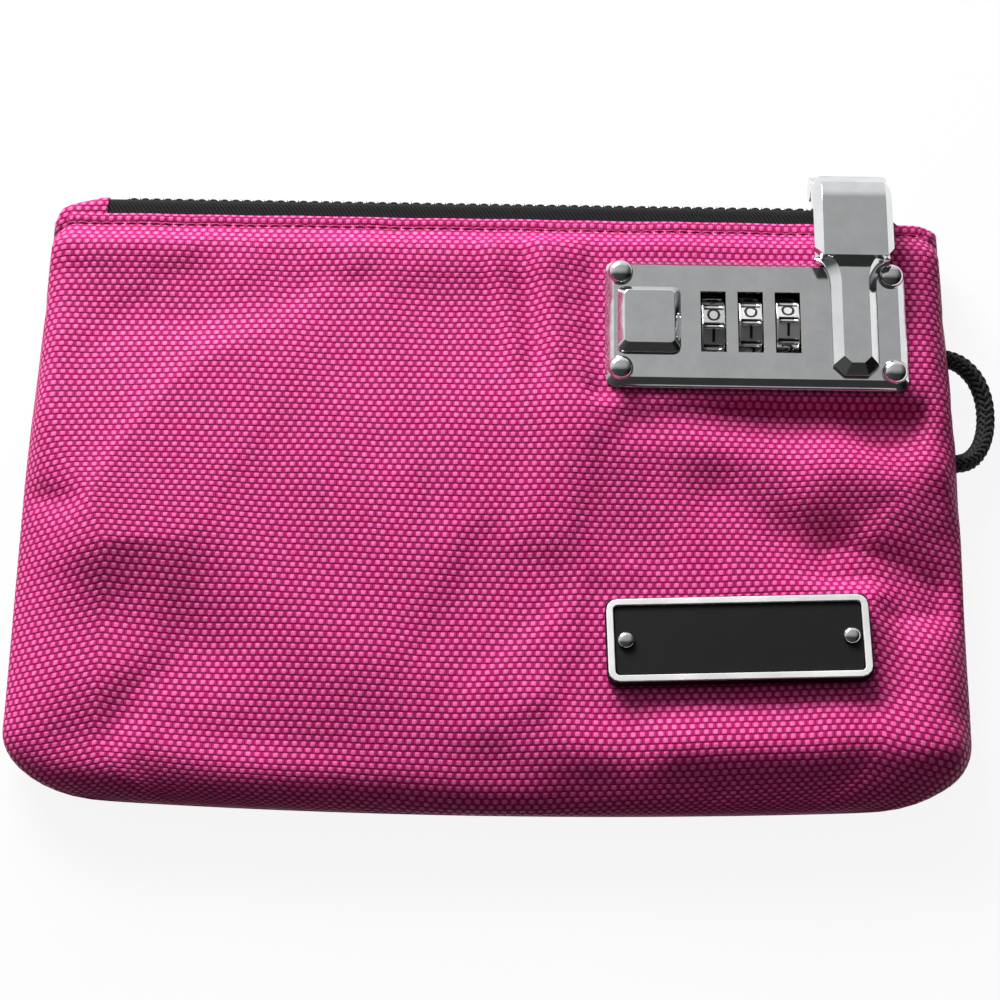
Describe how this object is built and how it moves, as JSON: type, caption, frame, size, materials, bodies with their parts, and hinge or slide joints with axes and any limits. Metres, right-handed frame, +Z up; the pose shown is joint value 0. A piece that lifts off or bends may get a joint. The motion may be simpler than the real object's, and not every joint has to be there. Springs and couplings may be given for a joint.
{
  "type": "lockable pouch",
  "caption": "Flat zipped cloth pouch with a combination lock plate that catches the zip pull, a blank label and a cord loop.",
  "frame": {"origin": "centre of the bounding box without the cord loop, at the underside of the rear panel, on the table", "axes": "+X along the zip towards its closed end, +Y from the bottom seam to the zip, +Z up out of the front panel"},
  "size_m": [0.2307, 0.1562, 0.0271],
  "materials": {
    "pink_cloth": "coarse plain weave",
    "seam_binding": "woven",
    "zip_tape": "twill",
    "tooth_metal": "bright",
    "chrome": "polished",
    "steel": "plain",
    "die_cast": "as cast",
    "brass": "turned",
    "black_rubber": "matte",
    "white_rubber": "matte",
    "black_cord": "braided"
  },
  "bodies": {
    "pouch": {"front_panel": "pink_cloth", "rear_panel": "pink_cloth", "zip_tab_left": "pink_cloth", "zip_tab_right": "pink_cloth", "seam_tape_left": "seam_binding", "seam_tape_right": "seam_binding", "zip_tape_front": "zip_tape", "zip_tape_rear": "zip_tape", "teeth_front": "tooth_metal", "teeth_rear": "tooth_metal", "top_stop_front": "tooth_metal", "top_stop_rear": "tooth_metal", "bottom_stop": "tooth_metal", "lock_plate": "chrome", "lock_rivet_1": "chrome", "lock_rivet_2": "chrome", "lock_rivet_3": "chrome", "lock_rivet_4": "chrome", "label_rivet_1": "chrome", "label_rivet_2": "chrome", "lock_backing_frame": "steel", "dial_shaft": "steel", "detent_spring": "steel", "lock_housing": "die_cast", "label_plate": "black_rubber", "label_rim": "white_rubber", "cord_loop": "black_cord"},
    "slider": {"zip_slider": "chrome"},
    "pull": {"zip_pull": "chrome", "pull_pin": "steel"},
    "dial_1": {"dial_wheel_1": "chrome", "code_sleeve_1": "brass"},
    "dial_2": {"dial_wheel_2": "chrome", "code_sleeve_2": "brass"},
    "dial_3": {"dial_wheel_3": "chrome", "code_sleeve_3": "brass"},
    "release": {"release_button": "chrome", "latch_bar": "steel", "button_screw": "steel"}
  },
  "joints": [
    {"name": "pull_swing", "type": "hinge", "parent": "slider", "child": "pull", "pos_m": [0.0851, 0.07515, 0.0164], "axis": [-1, 0, 0], "range_deg": [0, 155]},
    {"name": "slider_travel", "type": "slide", "parent": "pouch", "child": "slider", "axis": [-1, 0, 0], "range_m": [0, 0.166], "deforming": ["zip_tape_front", "zip_tape_rear", "teeth_front", "teeth_rear"]},
    {"name": "release_slide", "type": "slide", "parent": "pouch", "child": "release", "axis": [-1, 0, 0], "range_m": [0, 0.0016]},
    {"name": "dial_1_turn", "type": "hinge", "parent": "pouch", "child": "dial_1", "pos_m": [0.0518, 0.03795, 0.013], "axis": [1, 0, 0], "continuous": true},
    {"name": "dial_2_turn", "type": "hinge", "parent": "pouch", "child": "dial_2", "pos_m": [0.0606, 0.03795, 0.013], "axis": [1, 0, 0], "continuous": true},
    {"name": "dial_3_turn", "type": "hinge", "parent": "pouch", "child": "dial_3", "pos_m": [0.0694, 0.03795, 0.013], "axis": [1, 0, 0], "continuous": true}
  ],
  "couplings": [
    {"joint": "slider_travel", "follows": "pull_swing", "m_per_rad": 0.06136}
  ]
}
